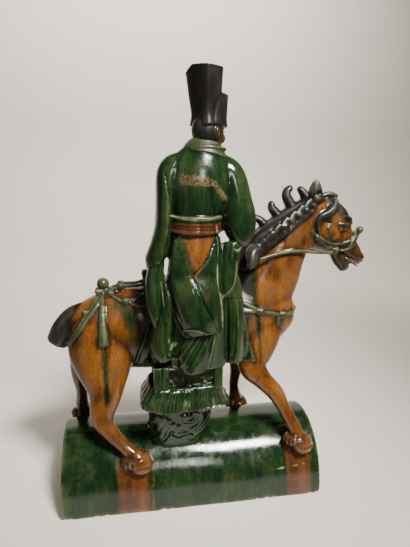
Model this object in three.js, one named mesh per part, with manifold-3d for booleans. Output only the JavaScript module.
// A roof ridge figure in lead-glazed stoneware: an official in a long-sleeved court robe and a tall
// cap stands on a fringed pedestal over a cloud foot, back to the front, beside a saddled and
// harnessed horse that bestrides a half-round ridge tile. Potter's work of this kind is luted together
// and fired as one, so the part is one solid.
//
// Millimetres, +Z up. The figure is modelled with X along the tile towards the horse's head, Y across
// it away from the official, and zero at the middle of the tile's underside. The last lines move it so
// that the origin is the centre of the underside of its bounding box.

import * as THREE from "three";
import { mergeVertices } from "three/addons/utils/BufferGeometryUtils.js";
import Module from "manifold-3d";

const wasm = await Module();
wasm.setup();

// ---------------------------------------------------------------------------
// Driving dimensions
// ---------------------------------------------------------------------------

const TILE_LENGTH = 350;
const TILE_HALF_WIDTH = 78;
const TILE_HEIGHT = 91;
const TILE_WALL = 15;
const TILE_POWER = 2.13; // the arch's superellipse: 2 is an ellipse, and more makes its sides steeper

const PEDESTAL_X = -12;
const PEDESTAL_Y = -44;
const PEDESTAL_HALF = [44, 31];
const PEDESTAL_TOP = 199;
const FRINGE_TOP = 168;
const FRINGE_FOOT = 144;

const NEAR = -1; // the official's side of the horse, as a sign on Y
const FAR = 1;

const GLAZE = { color: 0x2c4a2a, roughness: 0.22, metalness: 0 };

const X_AXIS = new THREE.Vector3(1, 0, 0);
const Y_AXIS = new THREE.Vector3(0, 1, 0);
const Z_AXIS = new THREE.Vector3(0, 0, 1);

// ---------------------------------------------------------------------------
// Solids
// ---------------------------------------------------------------------------

// A closed three.js geometry as a manifold solid.
function solid(geometry) {
  const bare = new THREE.BufferGeometry();
  bare.setAttribute("position", geometry.getAttribute("position"));
  bare.setIndex(geometry.getIndex());
  const merged = mergeVertices(bare, 1e-3);
  return new wasm.Manifold(
    new wasm.Mesh({
      numProp: 3,
      vertProperties: merged.getAttribute("position").array,
      triVerts: new Uint32Array(merged.getIndex().array),
    }),
  );
}

// A manifold solid as a three.js geometry.
function geometryOf(made) {
  const { vertProperties, triVerts, numProp, numVert } = made.getMesh();
  const positions = new Float32Array(numVert * 3);
  for (let i = 0; i < numVert; i++) {
    positions.set(vertProperties.subarray(i * numProp, i * numProp + 3), i * 3);
  }
  const geometry = new THREE.BufferGeometry();
  geometry.setAttribute("position", new THREE.BufferAttribute(positions, 3));
  geometry.setIndex(new THREE.BufferAttribute(new Uint32Array(triVerts), 1));
  geometry.computeVertexNormals();
  return geometry;
}

function join(...solids) {
  return solids.flat().reduce((whole, piece) => whole.add(piece));
}

// A form swept through stations [x, y, z, wide, deep]: half its size along `across`, and half its size
// at right angles to that. `power` squares the section, and `fold` scales its radius at a share of the
// way along and an angle that is 0 on the `across` side.
function limb(stations, { sides = 10, across = Y_AXIS, power = 2, fold = () => 1 } = {}) {
  const path = new THREE.CatmullRomCurve3(stations.map(([x, y, z]) => new THREE.Vector3(x, y, z)));
  const girth = new THREE.CatmullRomCurve3(stations.map(([, , , wide, deep]) => new THREE.Vector3(wide, deep, 0)));
  const geometry = new THREE.CylinderGeometry(1, 1, 1, sides, stations.length - 1);
  const positions = geometry.getAttribute("position");
  for (let i = 0; i < positions.count; i++) {
    const along = positions.getY(i) + 0.5;
    const angle = Math.atan2(positions.getZ(i), positions.getX(i));
    const reach = Math.hypot(positions.getX(i), positions.getZ(i));
    const corner = (Math.abs(Math.cos(angle)) ** power + Math.abs(Math.sin(angle)) ** power) ** (-1 / power);
    const radius = reach * corner * fold(along, angle);
    const size = girth.getPoint(along);
    const tangent = path.getTangent(along);
    const wide = across.clone().addScaledVector(tangent, -across.dot(tangent)).normalize();
    const deep = wide.clone().cross(tangent);
    const point = path
      .getPoint(along)
      .addScaledVector(wide, Math.cos(angle) * radius * Math.max(size.x, 0.2))
      .addScaledVector(deep, Math.sin(angle) * radius * Math.max(size.y, 0.2));
    positions.setXYZ(i, point.x, point.y, point.z);
  }
  return solid(geometry);
}

function ball([x, y, z], [rx, ry, rz], detail = 10) {
  const geometry = new THREE.SphereGeometry(1, detail, Math.max(5, detail / 2));
  geometry.scale(rx, ry, rz);
  geometry.translate(x, y, z);
  return solid(geometry);
}

// The same stations on the other side of the horse's middle.
function onSide(side, stations) {
  return stations.map(([x, y, z, ...size]) => [x, y * side, z, ...size]);
}

// A strap, cord or relief line laid on a body: route is [x, z] points, which are carried in along Y to
// the body's surface on one side. `rise` is half its thickness and `half` half its width.
function laidOn(body, side, route, half, { rise = 2, count = 5, sides = 4, taper = () => 1 } = {}) {
  const flat = new THREE.CatmullRomCurve3(route.map(([x, z]) => new THREE.Vector3(x, 0, z)));
  const ray = new THREE.Raycaster();
  const stations = [];
  for (let i = 0; i <= count; i++) {
    const { x, z } = flat.getPoint(i / count);
    ray.set(new THREE.Vector3(x, side * 400, z), new THREE.Vector3(0, -side, 0));
    const [hit] = ray.intersectObject(body);
    const scale = taper(i / count);
    if (hit) stations.push([x, hit.point.y, z, rise * scale, half * scale]);
  }
  return limb(stations, { sides });
}

function surface(made) {
  return new THREE.Mesh(geometryOf(made));
}

// ---------------------------------------------------------------------------
// The tile
// ---------------------------------------------------------------------------

function archPoints(halfWidth, height, count) {
  const points = [];
  for (let i = 0; i <= count; i++) {
    const angle = (Math.PI * i) / count;
    const across = Math.sign(Math.cos(angle)) * Math.abs(Math.cos(angle)) ** (2 / TILE_POWER);
    const up = Math.sin(angle) ** (2 / TILE_POWER);
    points.push(new THREE.Vector2(halfWidth * across, height * up));
  }
  return points;
}

const HOLLOW = archPoints(TILE_HALF_WIDTH - TILE_WALL, TILE_HEIGHT - TILE_WALL, 16);

// A section across the tile, drawn out along it.
function alongTile(section, length) {
  const geometry = new THREE.ExtrudeGeometry(new THREE.Shape(section), { depth: length, bevelEnabled: false });
  geometry.applyMatrix4(new THREE.Matrix4().makeBasis(Y_AXIS, Z_AXIS, X_AXIS));
  geometry.translate(-length / 2, 0, 0);
  return solid(geometry);
}

function ridgeTile() {
  const outside = archPoints(TILE_HALF_WIDTH, TILE_HEIGHT, 24);
  return alongTile([...outside, ...HOLLOW.toReversed()], TILE_LENGTH);
}

// What must stay empty under the tile and below it, a little longer than the tile.
function tileHollow() {
  const margin = 20;
  const below = [1, -1].map((side) => new THREE.Vector2(-side * (TILE_HALF_WIDTH - TILE_WALL), -margin));
  return alongTile([...HOLLOW, ...below], TILE_LENGTH + margin);
}

// ---------------------------------------------------------------------------
// The horse
// ---------------------------------------------------------------------------

function horseTrunk() {
  return limb(
    [
      [-164, 0, 226, 12, 14],
      [-150, 0, 228, 27, 33],
      [-125, 0, 230, 37, 47],
      [-92, 0, 230, 41, 56],
      [-45, 0, 228, 42, 57],
      [5, 0, 226, 42, 56],
      [50, 0, 232, 41, 58],
      [88, 0, 242, 38, 58],
      [120, 0, 248, 32, 46],
      [141, 0, 250, 22, 28],
      [149, 0, 251, 8, 10],
    ],
    { sides: 12 },
  );
}

function horseNeck() {
  return limb(
    [
      [82, 0, 240, 34, 50],
      [97, 0, 272, 33, 48],
      [113, 0, 303, 28, 44],
      [127, 0, 331, 24, 37],
      [144, 0, 357, 21, 31],
      [165, 0, 378, 19, 27],
      [184, 0, 389, 17, 23],
    ],
    { sides: 10 },
  );
}

function horseHead() {
  const skull = limb(
    [
      [182, 0, 398, 12, 13],
      [190, 0, 390, 17, 20],
      [200, 0, 376, 19, 25],
      [209, 0, 362, 17, 22],
      [218, 0, 349, 14, 17.5],
      [229, 0, 337, 12.5, 14],
      [239, 0, 325.5, 12.5, 11],
      [245, 0, 314, 7, 5],
    ],
    { sides: 10 },
  );
  const jaw = limb(
    [
      [150, 0, 356, 16, 23],
      [178, 0, 350, 14, 16],
      [205, 0, 336, 11, 11],
      [218, 0, 317, 10, 10.5],
      [226, 0, 305, 7, 5],
    ],
    { sides: 8 },
  );
  const pair = (x, y, z, radii, detail) => [NEAR, FAR].map((side) => ball([x, side * y, z], radii, detail));
  const brows = pair(209, 12, 379, [12, 7, 5], 6);
  const browKnobs = pair(223, 4, 383, [3.5, 3.5, 3.5], 5);
  const eyes = pair(211, 15.5, 368, [6, 4, 3.5], 6);
  const nostrils = pair(242, 8, 323, [5.5, 5.5, 7], 6);
  const cheeks = pair(194, 12, 362, [18, 8, 16], 7);
  const ear = (side, forward) =>
    limb(
      onSide(side, [
        [170 + forward, 10, 399, 5, 9],
        [168 + forward, 14, 412, 5, 10],
        [168 + forward, 15, 423, 3.5, 6.5],
        [169 + forward, 15, 432, 1, 1.2],
      ]),
      { sides: 6 },
    );
  return join(skull, jaw, brows, browKnobs, eyes, nostrils, cheeks, ear(NEAR, 0), ear(FAR, 10));
}

// Each leg runs from the hip or shoulder to the hoof, and splays so that the hoof stands on the tile's
// slope.
const LEGS = [
  {
    side: NEAR,
    stations: [
      [-112, 14, 246, 20, 36],
      [-120, 24, 214, 22, 44],
      [-118, 33, 182, 19, 35],
      [-117, 40, 152, 14, 22],
      [-122, 46, 122, 11, 15],
      [-112, 51, 104, 9.5, 11.5],
      [-96, 56, 87, 8.5, 9],
      [-85, 60, 77, 10, 10],
    ],
    hoof: [-73, 65, 66],
  },
  {
    side: NEAR,
    stations: [
      [102, 12, 246, 20, 33],
      [92, 22, 212, 20, 30],
      [83, 32, 178, 15, 21],
      [95, 39, 160, 12, 14],
      [113, 46, 141, 10.5, 12],
      [126, 52, 117, 8.5, 9],
      [139, 58, 93, 9.5, 10],
    ],
    hoof: [148, 63, 73],
  },
  {
    side: FAR,
    stations: [
      [-118, 14, 244, 20, 36],
      [-132, 25, 212, 21, 38],
      [-146, 33, 182, 16, 26],
      [-157, 39, 150, 10.5, 13],
      [-156, 45, 120, 8.5, 8.5],
      [-157, 51, 94, 9.5, 9.5],
    ],
    hoof: [-148, 57, 73],
  },
  {
    side: FAR,
    stations: [
      [98, 12, 244, 20, 34],
      [86, 24, 206, 18, 27],
      [78, 33, 172, 12.5, 15],
      [78, 40, 140, 9.5, 9.5],
      [77, 46, 114, 7.5, 7.5],
      [80, 51, 94, 9, 9],
    ],
    hoof: [88, 57, 74],
  },
];

function horseLegs() {
  return LEGS.map(({ side, stations, hoof: [x, y, z] }) =>
    join(
      limb(onSide(side, stations), { sides: side === NEAR ? 10 : 8 }),
      ball([x, side * y, z], [16, 15, 14], 8),
      limb(
        onSide(side, [
          [stations.at(-1)[0], stations.at(-1)[1], stations.at(-1)[2], 9, 9],
          [x, y, z + 3, 12, 12],
        ]),
        { sides: 8 },
      ),
    ),
  );
}

function horseTail() {
  return limb(
    [
      [-138, 0, 252, 10, 12],
      [-156, 0, 243, 11, 13],
      [-170, 0, 228, 12, 13],
      [-181, 0, 212, 12.5, 12.5],
    ],
    { sides: 10 },
  );
}

// The mane is a thick roll along the crest, with flame-shaped locks that stand up from it and hook
// forward at the tip.
const LOCKS = [
  { root: [98, 362], waist: [93, 373], tip: [87, 383] },
  { root: [118, 383], waist: [107, 392], tip: [109, 402] },
  { root: [136, 391], waist: [131, 409], tip: [136, 422] },
  { root: [150, 397], waist: [148, 411], tip: [152, 421] },
];

function horseMane() {
  const roll = limb(
    [
      [70, -8, 312, 12, 12],
      [84, -9, 336, 17, 18],
      [104, -8, 358, 19, 19],
      [126, -7, 375, 18, 18],
      [148, -5, 390, 16, 16],
      [170, -2, 402, 13, 12],
      [188, 0, 405, 8, 8],
    ],
    { sides: 10 },
  );
  const flames = LOCKS.map(({ root: [x, z], waist: [wx, wz], tip: [tx, tz] }) =>
    limb(
      [
        [x, -2, z, 9, 10],
        [wx, -2, wz, 6.5, 6.5],
        [tx - 1, -2, tz - 4, 4, 4.5],
        [tx + 3, -2, tz - 3, 1.5, 1.5],
      ],
      { sides: 7 },
    ),
  );
  const fallen = [NEAR, FAR].map((side) =>
    limb(
      onSide(side, [
        [90, 14, 338, 12, 12],
        [79, 28, 334, 9, 11],
        [76, 35, 323, 6.5, 8],
        [70, 38, 316, 3, 3.5],
      ]),
      { sides: 7 },
    ),
  );
  const forelock = [NEAR, FAR].map((side) =>
    limb(
      onSide(side, [
        [200, 6, 404, 5, 5],
        [196, 13, 394, 5, 7],
        [186, 17, 387, 5, 5.5],
        [175, 18, 382, 5, 4.5],
        [171, 18, 372, 3.5, 3],
        [176, 18, 355, 1.5, 1.5],
      ]),
      { sides: 6 },
    ),
  );
  const crown = limb(
    [
      [182, 0, 409, 5, 4],
      [194, 0, 412, 4.5, 4],
      [204, 0, 408, 4.5, 4.5],
    ],
    { sides: 6 },
  );
  return join(roll, flames, fallen, forelock, crown);
}

// ---------------------------------------------------------------------------
// Saddle and harness
// ---------------------------------------------------------------------------

function saddle() {
  const seat = limb(
    [
      [-62, 0, 286, 26, 6],
      [-44, 0, 290, 31, 12],
      [-8, 0, 284, 33, 12],
      [30, 0, 290, 31, 12],
      [56, 0, 300, 26, 9],
    ],
    { sides: 8 },
  );
  const pommel = limb(
    [
      [50, -22, 290, 6, 6],
      [52, -12, 308, 6, 6],
      [53, 0, 314, 6, 6],
      [52, 12, 308, 6, 6],
      [50, 22, 290, 6, 6],
    ],
    { sides: 6, across: X_AXIS },
  );
  const cantle = limb(
    [
      [-58, -24, 280, 6, 6],
      [-61, -13, 299, 6, 6],
      [-62, 0, 305, 6, 6],
      [-61, 13, 299, 6, 6],
      [-58, 24, 280, 6, 6],
    ],
    { sides: 6, across: X_AXIS },
  );
  return join(seat, pommel, cantle);
}

// The saddle cloth hangs on each flank, wider at its foot.
function saddleCloth(side) {
  return limb(
    onSide(side, [
      [3, 30, 282, 8, 56],
      [2, 38, 262, 7, 60],
      [1, 41, 236, 6, 66],
      [0, 39, 210, 6, 73],
      [-1, 33, 190, 6, 78],
    ]),
    { sides: 12, power: 6 },
  );
}

function harness(body) {
  const pieces = [];
  const lay = (side, route, half, options) => pieces.push(laidOn(body, side, route, half, options));
  for (const side of [NEAR, FAR]) {
    lay(side, [[-124, 276], [-106, 284], [-87, 280], [-60, 284]], 2.6);
    lay(side, [[-128, 272], [-144, 252], [-160, 228], [-166, 214]], 3, { rise: 2.5 });
    lay(side, [[66, 262], [90, 256], [108, 252], [124, 249], [141, 250]], 3.2, { rise: 2.8 });
  }
  lay(NEAR, [[-124, 275], [-104, 270], [-84, 266], [-56, 262]], 2.6);
  lay(NEAR, [[-121, 274], [-119, 255], [-116, 222], [-112, 192]], 4, { rise: 3.5, count: 7, taper: tassel });
  for (const [x, z] of [[-87, 281], [-84, 266], [90, 256], [124, 249]]) {
    pieces.push(ball(laidPoint(body, NEAR, x, z), [5.5, 4.5, 5.5], 6));
  }
  pieces.push(
    limb(
      [
        [138, -20, 249, 3, 3.4],
        [149, -7, 251, 3, 3.4],
        [149, 7, 251, 3, 3.4],
        [138, 20, 249, 3, 3.4],
      ],
      { sides: 5, across: X_AXIS },
    ),
  );
  pieces.push(ball([-120, 0, 279], [9, 9, 6], 8));
  pieces.push(ball([-120, 0, 291], [9, 9, 9], 10));
  return pieces;
}

// A cord that opens into a bead and then a tassel's skirt, as a share of its full width.
function tassel(along) {
  return along < 0.3 ? 0.55 : 1.25 - 0.75 * along;
}

function laidPoint(body, side, x, z) {
  const ray = new THREE.Raycaster(new THREE.Vector3(x, side * 400, z), new THREE.Vector3(0, -side, 0));
  const [hit] = ray.intersectObject(body);
  return hit.point.toArray();
}

function bridle() {
  const rein = (side) =>
    limb(
      onSide(side, [
        [84, 34, 326, 2.2, 2.6],
        [112, 29, 333, 2.2, 2.6],
        [140, 25, 336, 2.2, 2.6],
        [170, 19, 333, 2.2, 2.6],
        [206, 12, 331, 2.2, 2.6],
      ]),
      { sides: 4 },
    );
  const throatLash = (side) =>
    limb(
      onSide(side, [
        [152, 17, 376, 2, 2.6],
        [172, 17, 354, 2, 2.6],
        [190, 15, 341, 2, 2.6],
        [206, 12, 333, 2, 2.6],
      ]),
      { sides: 4 },
    );
  const noseband = limb(
    [
      [212, 0, 325, 4, 4],
      [222, -13, 338, 2.6, 3],
      [232, -10, 354, 2.6, 3],
      [236, 0, 359, 2.6, 3],
      [232, 10, 354, 2.6, 3],
      [222, 13, 338, 2.6, 3],
      [213, 0, 326, 4, 4],
    ],
    { sides: 4, across: X_AXIS },
  );
  const bell = limb(
    [
      [237, 0, 344, 3, 3],
      [241, 0, 354, 2.6, 2.6],
      [244, 0, 362, 5.5, 5.5],
      [246, 0, 367, 2, 2],
    ],
    { sides: 6 },
  );
  return join(rein(NEAR), rein(FAR), throatLash(NEAR), throatLash(FAR), noseband, bell);
}

// ---------------------------------------------------------------------------
// The official
// ---------------------------------------------------------------------------

function robeBody() {
  const pleats = 9;
  const skirt = (along, angle) => 1 + 0.12 * Math.max(0, along - 0.4) * Math.cos(pleats * angle + 5 * along);
  const robe = limb(
    [
      [4, -58, 474, 12, 12],
      [3, -60, 457, 31, 21],
      [2, -60, 440, 38, 26],
      [0, -61, 416, 41, 28],
      [-4, -61, 392, 31, 26],
      [-5, -61, 374, 27, 24],
      [-3, -62, 340, 33, 28],
      [-1, -62, 300, 39, 29],
      [1, -62, 250, 41, 26],
      [0, -62, 196, 38, 20],
    ],
    { sides: 20, across: X_AXIS, fold: skirt },
  );
  // The skirts part beside the under-skirt and show the pedestal behind them.
  const parting = solid(new THREE.BoxGeometry(14, 60, 70).translate(24, -100, 206));
  return robe.subtract(parting);
}

function collar() {
  return limb(
    [
      [3, -60, 450, 27, 20],
      [5, -60, 459, 23, 17.5],
      [7, -59, 467, 20, 16],
    ],
    { sides: 14, across: X_AXIS },
  );
}

function belt() {
  return limb(
    [
      [-5, -61, 387, 31.5, 28],
      [-5, -61, 382, 32, 28.5],
      [-5, -61, 379, 29.5, 27],
      [-5, -61, 370, 30, 27],
    ],
    { sides: 14, across: X_AXIS },
  );
}

function sleeves() {
  const rightUpper = limb(
    [
      [14, -58, 450, 10, 10],
      [34, -60, 437, 18, 19],
      [44, -62, 404, 20, 23],
      [49, -63, 378, 21, 23],
      [50, -63, 358, 15, 17],
      [48, -62, 347, 6, 7],
    ],
    { sides: 10, across: X_AXIS },
  );
  const rightLower = limb(
    [
      [40, -68, 352, 12, 12],
      [36, -74, 326, 11, 11],
      [35, -77, 304, 10, 9],
      [34, -78, 291, 5, 5],
    ],
    { sides: 8, across: X_AXIS },
  );
  const leftUpper = limb(
    [
      [-12, -57, 450, 10, 10],
      [-33, -59, 439, 16, 19],
      [-41, -60, 404, 11, 21],
      [-42, -60, 376, 11, 21],
      [-47, -58, 350, 12, 20],
      [-55, -56, 330, 11, 17],
      [-60, -55, 321, 4, 8],
    ],
    { sides: 10, across: X_AXIS },
  );
  const leftLower = limb(
    [
      [-50, -60, 332, 9, 12],
      [-54, -66, 306, 11, 12],
      [-54, -69, 278, 10, 11],
      [-53, -71, 260, 6, 7],
      [-53, -71, 248, 2, 2],
    ],
    { sides: 8, across: X_AXIS },
  );
  const forearm = (elbow, bend) =>
    limb(
      [
        [elbow, -52, 376, 15, 17],
        [bend, -32, 387, 14, 16],
        [bend / 2, -18, 396, 12, 14],
        [6, -14, 400, 11, 12],
      ],
      { sides: 8, across: Z_AXIS },
    );
  const cuffFall = limb(
    [
      [5, -18, 398, 16, 12],
      [5, -18, 360, 18, 10],
      [5, -16, 322, 8, 5],
    ],
    { sides: 8, across: X_AXIS },
  );
  return join(rightUpper, rightLower, leftUpper, leftLower, forearm(48, 44), forearm(-36, -34), cuffFall);
}

// The skirts behind: an over-skirt whose hem turns out, an under-skirt that swings to the left, and a
// long fold at either side.
function skirts() {
  const gathers = (count, depth) => (along, angle) => 1 + depth * along * Math.cos(count * angle + 3 * along);
  const overSkirt = limb(
    [
      [-9, -72, 366, 18, 10],
      [-10, -76, 330, 27, 16],
      [-8, -79, 296, 30, 18],
      [-3, -79, 268, 27, 17],
      [3, -77, 250, 21, 14],
      [4, -78, 241, 22, 16],
    ],
    { sides: 12, across: X_AXIS },
  );
  const underSkirt = limb(
    [
      [5, -74, 252, 12, 12],
      [0, -76, 226, 15, 13],
      [-5, -76, 204, 17, 13],
      [-5, -74, 191, 16, 11],
    ],
    { sides: 14, across: X_AXIS, fold: gathers(7, 0.08) },
  );
  const rightFold = limb(
    [
      [32, -62, 340, 8, 16],
      [40, -65, 300, 13, 18],
      [45, -66, 256, 13, 17],
      [46, -66, 222, 12, 15],
      [46, -66, 203, 11, 12],
    ],
    { sides: 14, across: X_AXIS, fold: gathers(7, 0.09) },
  );
  const leftFold = limb(
    [
      [-28, -64, 320, 9, 17],
      [-37, -66, 280, 12, 16],
      [-43, -67, 246, 14, 15],
      [-45, -68, 222, 15, 15],
      [-43, -68, 210, 12, 11],
    ],
    { sides: 12, across: X_AXIS },
  );
  return join(overSkirt, underSkirt, rightFold, leftFold);
}

const HEAD_TURN = 58; // degrees that the head turns from facing across the horse towards the horse's head

const CAP_SLANT = 0.11; // radians by which the top of the cap falls towards its right
const CAP_CORNER = 0.65; // and by which it falls at its left, where the corner is cut off

// Made facing +Y round the middle of the neck, then turned.
function headAndCap() {
  const head = join(
    ball([0, 0, 483], [18, 20.5, 22], 9),
    ball([0, 6, 472], [12.5, 14, 11], 8),
    ball([0, 20, 481], [3, 3.5, 4.5], 6),
    ball([-17, -4, 482], [3, 4, 6], 6),
    ball([17, -4, 482], [3, 4, 6], 6),
  );
  const tall = limb(
    [
      [0, -3, 490, 18, 15],
      [0, -4, 503, 16, 13],
      [0, -6, 522, 18, 13.5],
      [0, -8.5, 555, 22.5, 14.5],
    ],
    { sides: 14, across: X_AXIS, power: 4 },
  );
  const cutter = (turn, x, z) => solid(new THREE.BoxGeometry(70, 60, 20).rotateY(turn).translate(x, -8, z));
  const front = limb(
    [
      [0, 3, 490, 19, 17],
      [0, 4, 500, 18, 15],
      [0, 6, 524, 18, 14],
    ],
    { sides: 12, across: X_AXIS, power: 3 },
  );
  const trimmed = tall.subtract(cutter(CAP_SLANT, 0, 561)).subtract(cutter(-CAP_CORNER, -38.5, 546));
  return join(head, trimmed, front).rotate([0, 0, -HEAD_TURN]).translate([10, -58, 0]);
}

// ---------------------------------------------------------------------------
// Pedestal and cloud foot
// ---------------------------------------------------------------------------

function pedestal() {
  const [halfX, halfY] = PEDESTAL_HALF;
  const block = limb(
    [
      [PEDESTAL_X, PEDESTAL_Y, PEDESTAL_TOP, halfX, halfY],
      [PEDESTAL_X, PEDESTAL_Y, FRINGE_TOP - 2, halfX, halfY],
    ],
    { sides: 24, across: X_AXIS, power: 6 },
  );
  const niche = limb(
    [
      [PEDESTAL_X + 4, PEDESTAL_Y - halfY, PEDESTAL_TOP - 6, 27, 6],
      [PEDESTAL_X + 4, PEDESTAL_Y - halfY, FRINGE_TOP + 6, 27, 6],
    ],
    { sides: 16, across: X_AXIS, power: 6 },
  );
  const ribs = 26;
  const fringe = limb(
    [
      [PEDESTAL_X, PEDESTAL_Y, FRINGE_TOP, halfX + 3, halfY + 3],
      [PEDESTAL_X - 1, PEDESTAL_Y, FRINGE_TOP - 8, halfX + 6, halfY + 5],
      [PEDESTAL_X - 2, PEDESTAL_Y, FRINGE_FOOT, halfX + 12, halfY + 9],
    ],
    { sides: ribs * 2, across: X_AXIS, power: 4, fold: (along, angle) => 1 + 0.018 * Math.cos(ribs * angle) },
  );
  return join(block.subtract(niche), fringe);
}

// The cloud foot narrows onto the slope of the tile, with a comma of three rolls at its left and two
// rings round a pearl at its right.
const CLOUD_ROLLS = [
  [[-41, 130], [-57, 117], [-58, 100], [-62, 84]],
  [[-36, 124], [-46, 112], [-48, 96], [-54, 82]],
  [[-29, 116], [-38, 104], [-39, 92], [-46, 80]],
  [[8, 130], [18, 116], [16, 101], [8, 88], [-6, 81]],
  [[4, 125], [10, 113], [6, 101], [-3, 95], [-14, 94]],
];
const CLOUD_PEARL = [-8, 116];

function cloudFoot() {
  const foot = limb(
    [
      [-20, -33, FRINGE_FOOT + 2, 42, 33],
      [-20, -30, 118, 41, 31],
      [-21, -26, 92, 40, 28],
      [-23, -22, 60, 36, 24],
    ],
    { sides: 16, across: X_AXIS, power: 3 },
  );
  const body = surface(foot);
  const rolls = CLOUD_ROLLS.map((route) => laidOn(body, NEAR, route, 3.5, { rise: 4, count: 4 }));
  return join(foot, rolls, ball(laidPoint(body, NEAR, ...CLOUD_PEARL), [6, 5, 6], 6));
}

// ---------------------------------------------------------------------------
// The whole
// ---------------------------------------------------------------------------

const horse = join(horseTrunk(), horseNeck(), horseHead(), horseLegs(), horseTail());
const flank = surface(horse);

const whole = join(
  horse,
  horseMane(),
  saddle(),
  saddleCloth(NEAR),
  saddleCloth(FAR),
  harness(flank),
  bridle(),
  robeBody(),
  collar(),
  belt(),
  sleeves(),
  skirts(),
  headAndCap(),
  pedestal(),
  cloudFoot(),
)
  .subtract(tileHollow())
  .add(ridgeTile());

const geometry = geometryOf(whole);
geometry.computeBoundingBox();
const middle = geometry.boundingBox.getCenter(new THREE.Vector3());
geometry.translate(-middle.x, -middle.y, 0);

const ridgeFigure = new THREE.Mesh(geometry, new THREE.MeshStandardMaterial(GLAZE));
ridgeFigure.name = "ridge_figure";

const part = new THREE.Group();
part.add(ridgeFigure);

export default part;
